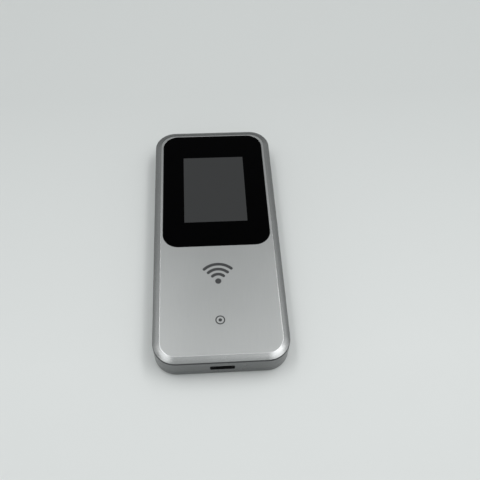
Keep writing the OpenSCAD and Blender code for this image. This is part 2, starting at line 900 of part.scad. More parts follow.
module battery_label() {
    length = battery_l - battery_cap_l - 6;
    color(white_plastic) difference() {
        plate(battery_w, length, 0.2, battery_z, battery_t, battery_y - battery_cap_l / 2);
        translate([0, battery_y - battery_cap_l / 2, battery_z + battery_t / 2])
            cube([battery_w - 2 * wrap_t, length + 1, battery_t - 2 * wrap_t], center = true);
    }
}

module battery_cap() {
    color(dark_plastic) difference() {
        plate(battery_w, battery_cap_l, 0.8, battery_z, battery_t, battery_end - battery_cap_l / 2);
        for (x = contact_x) block(
            [x - contact_w / 2, battery_end - 0.1, contact_z - contact_h / 2],
            [x + contact_w / 2, battery_end + cut_over, contact_z + contact_h / 2]
        );
    }
}

module battery_contacts() {
    color(gold) for (x = contact_x) block(
        [x - contact_w / 2, battery_end - 0.1, contact_z - contact_h / 2],
        [x + contact_w / 2, battery_end, contact_z + contact_h / 2]
    );
}

back_cover();
graphite_sheet();
main_housing();
front_cover();
rear_frame();
display_lens();
lens_adhesive();
lcd_panel();
lcd_backlight();
display_frame();
lcd_gasket();
lcd_flex();
lcd_connector();
main_pcb();
modem_chip();
processor_chip();
memory_chip();
wifi_chip();
modem_shield();
radio_shield();
thermal_pad();
heat_spreader();
usb_shell();
usb_tongue();
usb_gasket();
left_antenna_jack();
right_antenna_jack();
left_jack_insulator();
right_jack_insulator();
port_cover_pins();
power_switch();
reset_switch();
sim_socket();
battery_connector();
far_antenna();
near_left_antenna();
near_right_antenna();
left_wifi_antenna();
right_wifi_antenna();
nfc_coil();
nfc_ferrite();
case_screws();
id_label();
battery_cell();
battery_cap();
battery_contacts();
battery_label();
power_button();
power_plunger();
reset_plunger();
left_port_cover();
right_port_cover();
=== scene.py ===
import math

import bmesh
import bpy
from mathutils import Matrix, Vector


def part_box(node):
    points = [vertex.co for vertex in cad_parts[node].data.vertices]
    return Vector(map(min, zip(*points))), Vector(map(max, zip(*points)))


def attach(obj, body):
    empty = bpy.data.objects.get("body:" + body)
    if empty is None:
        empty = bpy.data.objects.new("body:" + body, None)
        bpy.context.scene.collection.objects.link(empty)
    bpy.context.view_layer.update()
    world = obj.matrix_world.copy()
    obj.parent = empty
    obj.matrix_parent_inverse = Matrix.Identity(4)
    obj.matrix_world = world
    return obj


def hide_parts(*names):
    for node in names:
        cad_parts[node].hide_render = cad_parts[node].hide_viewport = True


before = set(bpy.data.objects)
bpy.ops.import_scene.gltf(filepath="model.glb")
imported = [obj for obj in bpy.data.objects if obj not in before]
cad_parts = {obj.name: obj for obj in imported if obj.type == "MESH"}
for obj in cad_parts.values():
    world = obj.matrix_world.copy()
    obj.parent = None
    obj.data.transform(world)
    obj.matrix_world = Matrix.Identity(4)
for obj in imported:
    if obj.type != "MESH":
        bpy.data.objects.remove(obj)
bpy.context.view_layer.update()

# Sizes. Everything below is in millimetres until a mesh is made; MM turns it into metres.
MM = 0.001


def box_mm(node):
    low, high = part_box(node)
    return low / MM, high / MM


HALF_W, HALF_L, TOP = box_mm("front_cover")[1]
SEAM_Z = box_mm("main_housing")[1].z
PCB_TOP = box_mm("main_pcb")[1].z
SHELL_FLOOR_Z = box_mm("graphite_sheet")[0].z
CORNER_R = 12.3
WALL_T = 1.6
RIM_T = 1.5                    # wall of the back cover's tray
PARTING_Z = 4.0                # where the back cover meets the wall ring
FACE_Z = TOP - 0.02            # leaves room for the lens and the marks under the top of the CAD box
MARK_LOW = FACE_Z - 0.05       # the printed marks start a little inside the face plate
MARK_TOP = FACE_Z + 0.014
GLASS_TOP = FACE_Z + 0.01
BEVEL_W = 3.7
BEVEL_H = 1.3
BEVEL_MID = 0.46               # share of the bevel's width and height at which it is rounded
PLATE_T = 1.3
SILL_H = 0.4                   # upright edge of the face plate below its bevel
SEAM_DEPTH = 0.4
ARC_STEPS = 16                 # segments in a quarter of a corner
ROUND_STEPS = 4                # segments in a small rounded edge
SHARP = 32.0                   # degrees at which an edge stays crisp

LENS_LOW, LENS_HIGH = box_mm("display_lens")
LENS_W = LENS_HIGH.x - LENS_LOW.x
LENS_L = LENS_HIGH.y - LENS_LOW.y
LENS_Y = (LENS_HIGH.y + LENS_LOW.y) / 2
LENS_R = 9.0
ACTIVE_W = 36.72
ACTIVE_L = 48.96
ACTIVE_R = 0.25
PANEL_LOW, PANEL_HIGH = box_mm("lcd_panel")
ACTIVE_Y = (PANEL_LOW.y + PANEL_HIGH.y) / 2 + 3.1

GASKET_LOW, GASKET_HIGH = box_mm("usb_gasket")
USB_Z = (GASKET_LOW.z + GASKET_HIGH.z) / 2
USB_SLOT_W = 12.8
USB_SLOT_H = GASKET_HIGH.z - GASKET_LOW.z
USB_SLOT_R = 0.9
SHELL_W, SHELL_H, SHELL_T = 8.94, 3.2, 0.3
SHELL_R = SHELL_H / 2 - 0.1
SHELL_MOUTH = 1.7              # depth of the receptacle's mouth behind the wall's face
SHELL_BACK = box_mm("usb_shell")[1].y + HALF_L
PAD_COUNT, PAD_PITCH, PAD_W = 12, 0.5, 0.24

KEY_LOW, KEY_HIGH = box_mm("power_button")
KEY_Y, KEY_Z = 45.0, (KEY_LOW.z + KEY_HIGH.z) / 2
KEY_L, KEY_H = 13.6, 2.9
KEY_OUT = KEY_HIGH.x - HALF_W
KEY_DEPTH = HALF_W - KEY_LOW.x
KEY_GAP = 0.15

PORT_LOW, PORT_HIGH = box_mm("right_port_cover")
PORT_Y = (PORT_LOW.y + PORT_HIGH.y) / 2
PORT_L = PORT_HIGH.y - PORT_LOW.y
PORT_H = PORT_HIGH.z - PORT_LOW.z
PORT_GAP = 0.12
PORT_DEPTH = 1.05
JACK_Y, JACK_Z = -58.0, 7.4
JACK_BORE, JACK_R = 5.0, 2.49

TAB_INSET = 1.2                # middle of a tab, measured in from the case's side
TAB_L, TAB_T = 6.0, 0.5
TAB_SLOT_L, TAB_SLOT_T = 6.3, 0.8
TABS_ALONG_SIDES = (-36, 0, 30, 62)
TABS_ALONG_ENDS = (-18, 18)
NOTCH_W, NOTCH_H, NOTCH_R, NOTCH_DEPTH = 12, 3.6, 1.2, 0.7


# Outlines and sections

def outline(w, l, r, steps=ARC_STEPS):
    """Rounded rectangle about the origin, anticlockwise from its right side."""
    points = []
    for quarter, (sx, sy) in enumerate(((1, 1), (-1, 1), (-1, -1), (1, -1))):
        for k in range(steps + 1):
            a = math.radians(90 * (quarter + k / steps))
            x = sx * (w / 2 - r) + r * math.cos(a)
            y = sy * (l / 2 - r) + r * math.sin(a)
            points.append(Vector((x, y)))
    return points


def section(corners, closed=False, steps=ROUND_STEPS):
    """Rounds each (across, along, radius) corner of a line. An open line's ends only guide it."""
    points = []
    for i, (across, along, radius) in enumerate(corners):
        if not closed and i in (0, len(corners) - 1):
            continue
        here = Vector((across, along))
        if radius <= 0:
            points.append(here)
            continue
        back = (Vector(corners[i - 1][:2]) - here).normalized()
        on = (Vector(corners[(i + 1) % len(corners)][:2]) - here).normalized()
        half = back.angle(on) / 2
        centre = here + (back + on).normalized() * radius / math.sin(half)
        first = here + back * radius / math.tan(half) - centre
        last = here + on * radius / math.tan(half) - centre
        turn = math.pi - 2 * half
        for k in range(steps + 1):
            t = k / steps
            arm = first * math.sin((1 - t) * turn) + last * math.sin(t * turn)
            points.append(centre + arm / math.sin(turn))
    return points


def case_rings(profile):
    """One ring round the case for each (inset, height) of a section."""
    rings = []
    for inset, z in profile:
        loop = outline(2 * (HALF_W - inset), 2 * (HALF_L - inset), CORNER_R - inset)
        rings.append([Vector((p.x, p.y, z)) for p in loop])
    return rings


def window_rings(profile):
    """One ring round the display window for each (outset, height) of a section."""
    rings = []
    for out, z in profile:
        loop = outline(LENS_W + 2 * out, LENS_L + 2 * out, LENS_R + out)
        rings.append([Vector((p.x, p.y + LENS_Y, z)) for p in loop])
    return rings


def wall_rings(place, u, v, w, h, r, profile, steps=8):
    """One ring round a slot or key for each (outset, depth). place(u, v, depth) puts it in a wall."""
    rings = []
    for out, depth in profile:
        loop = outline(w + 2 * out, h + 2 * out, r + out, steps)
        rings.append([place(u + p.x, v + p.y, depth) for p in loop])
    return rings


def near_wall(u, v, depth):
    return Vector((u, -HALF_L + depth, v))


def far_wall(u, v, depth):
    return Vector((u, HALF_L - depth, v))


def right_wall(u, v, depth):
    return Vector((HALF_W - depth, u, v))


def left_wall(u, v, depth):
    return Vector((-HALF_W + depth, u, v))


# Pieces

class Piece:
    """Collects rings and faces in millimetres and makes one smooth-shaded object of them."""

    def __init__(self, name):
        self.name = name
        self.mesh = bmesh.new()

    def skin(self, rings, closed=False, cap_start=True, cap_end=True, slot=0):
        """Joins rings of equal length side to side. A closed set meets its own first ring."""
        loops = [[self.mesh.verts.new(p * MM) for p in ring] for ring in rings]
        pairs = list(zip(loops, loops[1:]))
        if closed:
            pairs.append((loops[-1], loops[0]))
        for a, b in pairs:
            for i in range(len(a)):
                j = (i + 1) % len(a)
                self.mesh.faces.new((a[i], a[j], b[j], b[i])).material_index = slot
        if not closed and cap_start:
            self.mesh.faces.new(loops[0]).material_index = slot
        if not closed and cap_end:
            self.mesh.faces.new(loops[-1]).material_index = slot
        return loops

    def block(self, low, high, edge=0.1):
        """Box between two corners with rounded edges."""
        x, y = (low[0] + high[0]) / 2, (low[1] + high[1]) / 2
        w, l = high[0] - low[0], high[1] - low[1]
        profile = section(
            [(-w, low[2], 0), (0, low[2], edge), (0, high[2], edge), (-w, high[2], 0)], steps=2
        )
        rings = []
        for out, z in profile:
            loop = outline(w + 2 * out, l + 2 * out, edge * 1.5 + out, 3)
            rings.append([Vector((x + p.x, y + p.y, z)) for p in loop])
        self.skin(rings)

    def paint(self, slot, test):
        """Gives the faces whose (centre in mm, normal) pass the test another material slot."""
        bmesh.ops.recalc_face_normals(self.mesh, faces=self.mesh.faces)
        for face in self.mesh.faces:
            if test(face.calc_center_median() / MM, face.normal):
                face.material_index = slot

    def make(self, materials, sharp=SHARP):
        """Closes the mesh and returns its object, with one slot for each material."""
        bmesh.ops.remove_doubles(self.mesh, verts=self.mesh.verts, dist=1e-8)
        bmesh.ops.recalc_face_normals(self.mesh, faces=self.mesh.faces)
        data = bpy.data.meshes.new(self.name)
        self.mesh.to_mesh(data)
        self.mesh.free()
        piece = bpy.data.objects.new(self.name, data)
        bpy.context.scene.collection.objects.link(piece)
        for material in materials:
            data.materials.append(material)
        smooth(piece, sharp)
        return piece


def smooth(piece, sharp=SHARP):
    """Smooth shading that keeps flat faces flat and edges over `sharp` degrees crisp."""
    piece.data.shade_smooth()
    piece.data.set_sharp_from_angle(angle=math.radians(sharp))
    weighted = piece.modifiers.new("weighted", "WEIGHTED_NORMAL")
    weighted.keep_sharp = True
    weighted.weight = 100


def carve(piece, cutter):
    """Cuts the cutter's closed bodies out of the piece, then removes the cutter."""
    piece.modifiers.clear()
    cut = piece.modifiers.new("cut", "BOOLEAN")
    cut.object = cutter
    cut.operation = "DIFFERENCE"
    cut.solver = "EXACT"
    graph = bpy.context.evaluated_depsgraph_get()
    data = bpy.data.meshes.new_from_object(piece.evaluated_get(graph))
    piece.modifiers.clear()
    piece.data = data
    bpy.data.objects.remove(cutter)
    smooth(piece)


def mount(piece, body, slot, *nodes):
    """Fixes a piece to its body and hides the CAD nodes it stands for. The slot, its finish name, is
    not used.
    """
    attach(piece, body)
    if nodes:
        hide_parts(*nodes)


# Materials

class Shader:
    """A Principled material with its noise in object space, so that nothing depends on UVs."""

    def __init__(self, name, stretch=(1, 1, 1)):
        self.material = bpy.data.materials.new(name)
        self.material.use_nodes = True
        self.nodes = self.material.node_tree.nodes
        self.links = self.material.node_tree.links
        self.bsdf = self.nodes["Principled BSDF"]
        coords = self.nodes.new("ShaderNodeTexCoord")
        mapping = self.nodes.new("ShaderNodeMapping")
        mapping.inputs["Scale"].default_value = stretch
        self.links.new(coords.outputs["Object"], mapping.inputs["Vector"])
        self.place = mapping.outputs["Vector"]
        self.raw = coords.outputs["Object"]

    def uniform(self, **values):
        for socket, value in values.items():
            self.bsdf.inputs[socket.replace("_", " ")].default_value = value

    def noise(self, scale, detail=2.0, raw=False):
        node = self.nodes.new("ShaderNodeTexNoise")
        node.inputs["Scale"].default_value = scale
        node.inputs["Detail"].default_value = detail
        self.links.new(self.raw if raw else self.place, node.inputs["Vector"])
        return node.outputs["Fac"]

    def plus(self, value, extra, weight):
        """The value with a share of another one added."""
        node = self.nodes.new("ShaderNodeMath")
        node.operation = "MULTIPLY_ADD"
        self.links.new(extra, node.inputs[0])
        node.inputs[1].default_value = weight
        self.links.new(value, node.inputs[2])
        return node.outputs["Value"]

    def axis(self, name):
        """Position along one axis of the object."""
        split = self.nodes.new("ShaderNodeSeparateXYZ")
        self.links.new(self.raw, split.inputs["Vector"])
        return split.outputs[name]

    def spread(self, value, low, high, from_low=0.3, from_high=0.7):
        node = self.nodes.new("ShaderNodeMapRange")
        node.inputs["From Min"].default_value = from_low
        node.inputs["From Max"].default_value = from_high
        node.inputs["To Min"].default_value = low
        node.inputs["To Max"].default_value = high
        self.links.new(value, node.inputs["Value"])
        return node.outputs["Result"]

    def colour(self, value, dark, light, low=0.3, high=0.7):
        ramp = self.nodes.new("ShaderNodeValToRGB")
        ramp.color_ramp.elements[0].position = low
        ramp.color_ramp.elements[0].color = (*dark, 1)
        ramp.color_ramp.elements[1].position = high
        ramp.color_ramp.elements[1].color = (*light, 1)
        self.links.new(value, ramp.inputs["Fac"])
        self.links.new(ramp.outputs["Color"], self.bsdf.inputs["Base Color"])

    def roughness(self, value, low, high):
        self.links.new(self.spread(value, low, high), self.bsdf.inputs["Roughness"])

    def bump(self, value, strength, distance):
        node = self.nodes.new("ShaderNodeBump")
        node.inputs["Strength"].default_value = strength
        node.inputs["Distance"].default_value = distance * MM
        self.links.new(value, node.inputs["Height"])
        self.links.new(node.outputs["Normal"], self.bsdf.inputs["Normal"])


def tinted(colour, factor):
    return tuple(min(1.0, c * factor) for c in colour)


def silver_paint(name, colour, roughness, metallic=0.85, relief=0.03):
    """Satin metallic paint: faint lines along Y, soft handling marks and a fine flaky relief."""
    s = Shader(name, stretch=(1, 0.04, 1))
    s.uniform(Metallic=metallic, Specular_IOR_Level=0.45)
    s.colour(s.noise(2600, 2.0), tinted(colour, 0.985), tinted(colour, 1.015))
    s.roughness(s.noise(45, 3.0, raw=True), roughness - 0.02, roughness + 0.02)
    s.bump(s.noise(6000, 1.0, raw=True), relief, 0.003)
    return s.material


def gloss_black(name):
    """The printed black border behind the cover lens."""
    s = Shader(name)
    s.uniform(Metallic=0.0, Specular_IOR_Level=0.03)
    s.colour(s.noise(300), (0.0002, 0.0002, 0.0003), (0.0004, 0.0004, 0.0006))
    s.roughness(s.noise(70, 4.0), 0.045, 0.085)
    return s.material


def display_area(name):
    """The unlit panel seen through the glass: a neutral dark grey with a very fine grain."""
    s = Shader(name)
    s.uniform(Metallic=0.0, Specular_IOR_Level=0.05)
    s.colour(s.noise(6000, 1.0), (0.0445, 0.0455, 0.0465), (0.0495, 0.0505, 0.0515))
    s.roughness(s.noise(70, 4.0), 0.06, 0.10)
    return s.material


def moulded(name, colour, roughness=0.55, grain=2600, relief=0.25, shine=0.4):
    """Moulded plastic with a fine spark-eroded texture."""
    s = Shader(name)
    s.uniform(Metallic=0.0, Specular_IOR_Level=shine)
    s.colour(s.noise(180, 3.0), tinted(colour, 0.95), tinted(colour, 1.05))
    s.roughness(s.noise(90, 3.0), roughness - 0.03, roughness + 0.03)
    s.bump(s.noise(grain, 3.0), relief, 0.01)
    return s.material


def metal(name, colour, roughness=0.3, stretch=(1, 0.06, 1), grain=5000, relief=0.12):
    """Rolled or drawn metal with its lines along one axis."""
    s = Shader(name, stretch)
    s.uniform(Metallic=1.0)
    s.colour(s.noise(grain, 2.0), tinted(colour, 0.9), tinted(colour, 1.06))
    s.roughness(s.noise(120, 3.0, raw=True), roughness - 0.07, roughness + 0.08)
    s.bump(s.noise(grain, 2.0), relief, 0.004)
    return s.material


def film(name, colour, spark=0.0, roughness=0.45):
    """Thin film or sheet: slightly uneven, with a soft orange-peel surface."""
    s = Shader(name)
    s.uniform(Metallic=spark, Specular_IOR_Level=0.5)
    s.colour(s.noise(400, 4.0), tinted(colour, 0.93), tinted(colour, 1.07))
    s.roughness(s.noise(60, 3.0), roughness - 0.03, roughness + 0.03)
    s.bump(s.noise(700, 3.0), 0.2, 0.02)
    return s.material


SILVER = silver_paint("silver_paint", (0.383, 0.391, 0.390), 0.37)
SILVER_EDGE = silver_paint("silver_edge", (0.40, 0.408, 0.408), 0.25, 0.95, 0.006)
# Silver of the side walls, back cover, key and port covers: the face's paint at about half its
# brightness, painted shade for the darker look of the sides.
SILVER_WALL_PAINTED_SHADE = silver_paint("silver_wall_painted_shade", (0.19, 0.1945, 0.196), 0.26, 0.95, 0.01)
# Dark trim paint for the face plate's sill and lip and the wall's top rounding: painted shade that
# stands in for the shadowed seam between bevel and wall.
SEAM_PAINTED_SHADE = silver_paint("seam_painted_shade", (0.084, 0.087, 0.089), 0.25, 0.9, 0.01)
GLOSS_BLACK = gloss_black("gloss_black")
DISPLAY_AREA = display_area("display_area")
MARK_GREY = moulded("mark_grey", (0.036, 0.037, 0.039), 0.5, 5000, 0.1)
RUBBER = moulded("rubber_black", (0.006, 0.006, 0.0065), 0.7, 1800, 0.3, 0.12)
BLACK_PLASTIC = moulded("black_plastic", (0.022, 0.022, 0.024))
CHASSIS = moulded("chassis_black", (0.035, 0.036, 0.039), 0.6, 2200, 0.3)
SHELL_INSIDE = moulded("shell_inside", (0.16, 0.163, 0.167), 0.56, 2400, 0.2)
CHIP = moulded("chip_black", (0.02, 0.021, 0.022), 0.42, 4000, 0.15)
NATURAL = moulded("natural_white", (0.74, 0.73, 0.68), 0.4, 3000, 0.1)
BOARD = moulded("board_green", (0.012, 0.085, 0.05), 0.33, 900, 0.2)
PAD = moulded("pad_blue", (0.22, 0.37, 0.52), 0.7, 1500, 0.3)
SHIELD = metal("shield_steel", (0.66, 0.67, 0.68), 0.28)
# Near-black steel for the inside of the receptacle shell: painted shade for its shadowed inside.
INLET_PAINTED_SHADE = metal("inlet_steel_painted_shade", (0.06, 0.06, 0.062), 0.5)
SPRING = metal("spring_steel", (0.56, 0.57, 0.59), 0.3, (0.06, 1, 1))
SCREW = metal("screw_black", (0.09, 0.09, 0.1), 0.35, (1, 1, 1))
SPREADER = metal("spreader_aluminium", (0.78, 0.79, 0.8), 0.34)
GOLD = metal("contact_gold", (0.83, 0.6, 0.24), 0.22, (1, 1, 1))
FLEX = film("flex_amber", (0.34, 0.13, 0.02), 0.1, 0.35)
GRAPHITE = film("graphite_sheet", (0.05, 0.052, 0.056), 0.35, 0.4)
FOIL = film("cell_foil", (0.36, 0.37, 0.39), 0.75, 0.33)
LABEL = film("label_grey", (0.055, 0.06, 0.07), 0.0, 0.42)
PAPER = film("label_white", (0.78, 0.78, 0.75), 0.0, 0.6)
PANEL = film("panel_dark", (0.02, 0.02, 0.023), 0.0, 0.12)


# The outer case

def face_plate():
    """Bevelled face plate, closed all round: window, ledge, underside, skirt, seam, sill, bevel."""
    skirt_out = WALL_T + 0.1
    skirt_in = skirt_out + 1.0
    skirt_low = PCB_TOP + 0.5
    bevel_low = TOP - BEVEL_H
    sill_low = bevel_low - SILL_H
    under = TOP - PLATE_T
    ledge_top = LENS_LOW.z - 0.15
    ledge_low = ledge_top - 0.8
    window = section([
        (9, under, 0), (1.2, under, 0), (1.2, ledge_low, 0.1), (-3, ledge_low, 0.1),
        (-3, ledge_top, 0.1), (0.05, ledge_top, 0), (0.05, FACE_Z, 0.18), (9, FACE_Z, 0),
    ])
    edge = section([
        (9, FACE_Z, 0), (BEVEL_W, FACE_Z, 1.4),
        (BEVEL_W * BEVEL_MID, FACE_Z - BEVEL_H * BEVEL_MID, 16),
        (0, bevel_low, 0.5), (0, sill_low, 0.03), (SEAM_DEPTH, sill_low, 0),
        (SEAM_DEPTH, SEAM_Z, 0), (skirt_out, SEAM_Z, 0),
        (skirt_out, skirt_low, 0.1), (skirt_in, skirt_low, 0.1),
        (skirt_in, under, 0.2), (9, under, 0),
    ], steps=6)
    part = Piece("face_plate")
    part.skin(window_rings(window) + case_rings(edge), closed=True)
    part.paint(1, lambda at, normal: at.z > sill_low and 0.05 < normal.z < 0.9995)
    # Painted shade: the sill and lip under the bevel take the dark seam paint.
    part.paint(2, lambda at, normal: SEAM_Z < at.z < bevel_low + 0.1 and normal.z < 0.8)
    piece = part.make([SILVER, SILVER_EDGE, SEAM_PAINTED_SHADE])
    mount(piece, "main", "case_silver", "front_cover")


def slot_cutter(part, place, u, v, w, h, r, lip, depth, steps=8):
    """Cutter for an opening in a wall, flared at its mouth so that the cut leaves a rounded lip."""
    profile = section([
        (lip, -2, 0), (lip, -1, 0), (lip, 0, 0), (0, lip, 0), (0, depth, 0), (0, depth + 1, 0),
    ])
    part.skin(wall_rings(place, u, v, w, h, r, profile, steps))


def wall_openings():
    """Cutter for the inlet, the side key and the recesses of the port covers."""
    cuts = Piece("wall_cuts")
    slot_cutter(cuts, near_wall, 0, USB_Z, USB_SLOT_W, USB_SLOT_H, USB_SLOT_R, 0.14, WALL_T + 1.5)
    slot_cutter(cuts, right_wall, KEY_Y, KEY_Z, KEY_L + 2 * KEY_GAP, KEY_H + 2 * KEY_GAP,
                KEY_H / 2 + 0.1, 0.2, WALL_T + 0.5, 12)
    for place in (left_wall, right_wall):
        slot_cutter(cuts, place, PORT_Y, JACK_Z, PORT_L + 2 * PORT_GAP, PORT_H + 2 * PORT_GAP,
                    0.4, 0.15, PORT_DEPTH, 4)
    return cuts.make([])


def wall_holes():
    """Cutter for the bores of the antenna jacks and the slots of the snap tabs."""
    holes = Piece("wall_holes")
    bore = [(0.2, 0.5), (0.2, PORT_DEPTH), (0, 1.25), (0, 3.2)]
    for place in (left_wall, right_wall):
        holes.skin(wall_rings(place, JACK_Y, JACK_Z, JACK_BORE, JACK_BORE, JACK_R, bore, 10))
    for x, y, turned in tab_places():
        middle = Vector((x, y))
        half = Vector((TAB_SLOT_T, TAB_SLOT_L) if turned else (TAB_SLOT_L, TAB_SLOT_T)) / 2
        holes.block((middle.x - half.x, middle.y - half.y, PARTING_Z - 1),
                    (middle.x + half.x, middle.y + half.y, PARTING_Z + 1.05))
    return holes.make([])


def wall_ring():
    """Side wall with its tongue and its openings."""
    tongue_top = PARTING_Z + 1
    tongue_low, tongue_out, tongue_in = 2.6, 1.65, 2.4
    part = Piece("wall_ring")
    part.skin(case_rings(section([
        (0, PARTING_Z, 0.12), (0, SEAM_Z, 0.4), (WALL_T, SEAM_Z, 0.1), (WALL_T, tongue_top, 0),
        (tongue_in, tongue_top, 0.1), (tongue_in, tongue_low, 0.15), (tongue_out, tongue_low, 0.15),
        (tongue_out, PARTING_Z, 0),
    ], closed=True)), closed=True)
    # Painted shade: the wall's top rounding under the seam takes the dark seam paint.
    part.paint(1, lambda at, normal: at.z > SEAM_Z - 0.38 and normal.z > 0.05)
    piece = part.make([SILVER_WALL_PAINTED_SHADE, SEAM_PAINTED_SHADE, RUBBER])
    carve(piece, wall_openings())
    carve(piece, wall_holes())
    # The faces inside the inlet slot take the black rubber: partly the bare moulding behind the
    # outside paint, partly painted shade for the deep slot.
    for face in piece.data.polygons:
        at = face.center / MM
        in_wall = at.y < -HALF_L + WALL_T - 0.1 and face.normal.y > -0.6
        in_slot = abs(at.x) < USB_SLOT_W / 2 + 0.2 and abs(at.z - USB_Z) < USB_SLOT_H / 2 + 0.2
        if in_wall and in_slot:
            face.material_index = 2
    mount(piece, "main", "case_silver", "main_housing")


def tab_places():
    """(x, y, whether it runs along Y) for the middle of each snap tab of the back cover."""
    for side in (-1, 1):
        for y in TABS_ALONG_SIDES:
            yield side * (HALF_W - TAB_INSET), y, True
        for x in TABS_ALONG_ENDS:
            yield x, side * (HALF_L - TAB_INSET), False


def back_shell():
    """Removable back cover: a tray with a rounded bottom edge, snap tabs and a fingernail notch."""
    part = Piece("back_shell")
    part.skin(case_rings(section([
        (12, 0, 0), (0, 0, 1.2), (0, PARTING_Z, 0.12), (RIM_T, PARTING_Z, 0.1),
        (RIM_T, SHELL_FLOOR_Z, 0.25), (12, SHELL_FLOOR_Z, 0),
    ], steps=6)))
    part.paint(1, lambda at, normal: SHELL_FLOOR_Z - 0.1 < at.z < PARTING_Z - 0.08
               and at.x * normal.x + at.y * normal.y < 0.01)
    piece = part.make([SILVER_WALL_PAINTED_SHADE, SHELL_INSIDE])
    notch = Piece("notch")
    slot_cutter(notch, far_wall, 0, PARTING_Z + 1, NOTCH_W, NOTCH_H, NOTCH_R, 0.15, NOTCH_DEPTH)
    carve(piece, notch.make([]))
    mount(piece, "back", "case_silver", "back_cover")

    tabs = Piece("back_tabs")
    for x, y, turned in tab_places():
        a, b = (TAB_T / 2, TAB_L / 2) if turned else (TAB_L / 2, TAB_T / 2)
        tabs.block((x - a, y - b, SHELL_FLOOR_Z - 0.2), (x + a, y + b, PARTING_Z + 0.9), 0.12)
    mount(tabs.make([BLACK_PLASTIC]), "back", "chassis_black")


# The display window and the marks on the face

def window_glass():
    """Cover lens with polished edges; the unlit display shows through it as a dark grey field."""
    part = Piece("window_glass")
    profile = section([
        (-9, LENS_LOW.z, 0), (0, LENS_LOW.z, 0.1), (0, GLASS_TOP, 0.18), (-9, GLASS_TOP, 0),
    ])
    field = [Vector((p.x, p.y + ACTIVE_Y, GLASS_TOP)) for p in outline(ACTIVE_W, ACTIVE_L, ACTIVE_R)]
    loops = part.skin(window_rings(profile) + [field], cap_end=False)
    part.mesh.faces.new(loops[-1]).material_index = 1
    piece = part.make([GLOSS_BLACK, DISPLAY_AREA])
    mount(piece, "main", "window_black", "display_lens")


def arc_band(radius, width, start, end, steps=24, cap_steps=8):
    """Outline of a band round the origin with rounded ends."""
    def at(r, a):
        return Vector((r * math.cos(math.radians(a)), r * math.sin(math.radians(a))))

    def end_cap(angle, turn):
        middle = at(radius, angle)
        turns = [angle + turn + 180 * k / cap_steps for k in range(1, cap_steps)]
        return [middle + at(width / 2, a) for a in turns]

    outer = [at(radius + width / 2, start + (end - start) * k / steps) for k in range(steps + 1)]
    inner = [at(radius - width / 2, end + (start - end) * k / steps) for k in range(steps + 1)]
    return outer + end_cap(end, 0) + inner + end_cap(start, 180)


def flat_ring(shape, origin, z):
    return [Vector((*(p + origin), z)) for p in shape]


def disc(radius, steps):
    return outline(2 * radius, 2 * radius, radius - 0.01, steps)


def face_marks():
    """Two printed marks: generic radio waves under the window, and a generic target below them."""
    waves = Piece("radio_sign")
    origin = Vector((-0.3, -32.2))
    for shape in [disc(1.7, 8)] + [arc_band(r, 1.75, 46, 134) for r in (4.4, 7.6, 10.8)]:
        waves.skin([flat_ring(shape, origin, z) for z in (MARK_LOW, MARK_TOP)])
    mount(waves.make([MARK_GREY], sharp=80), "main", "connector_black")

    target = Piece("tap_target")
    origin = Vector((-0.2, -55.7))
    outer, inner, dot = 2.6, 1.95, 0.95
    target.skin([
        flat_ring(disc(r, 10), origin, z)
        for r, z in ((outer, MARK_LOW), (outer, MARK_TOP), (inner, MARK_TOP), (inner, MARK_LOW))
    ], closed=True)
    target.skin([flat_ring(disc(dot, 10), origin, z) for z in (MARK_LOW, MARK_TOP)])
    mount(target.make([MARK_GREY], sharp=80), "main", "connector_black")


# The inlet and the side key

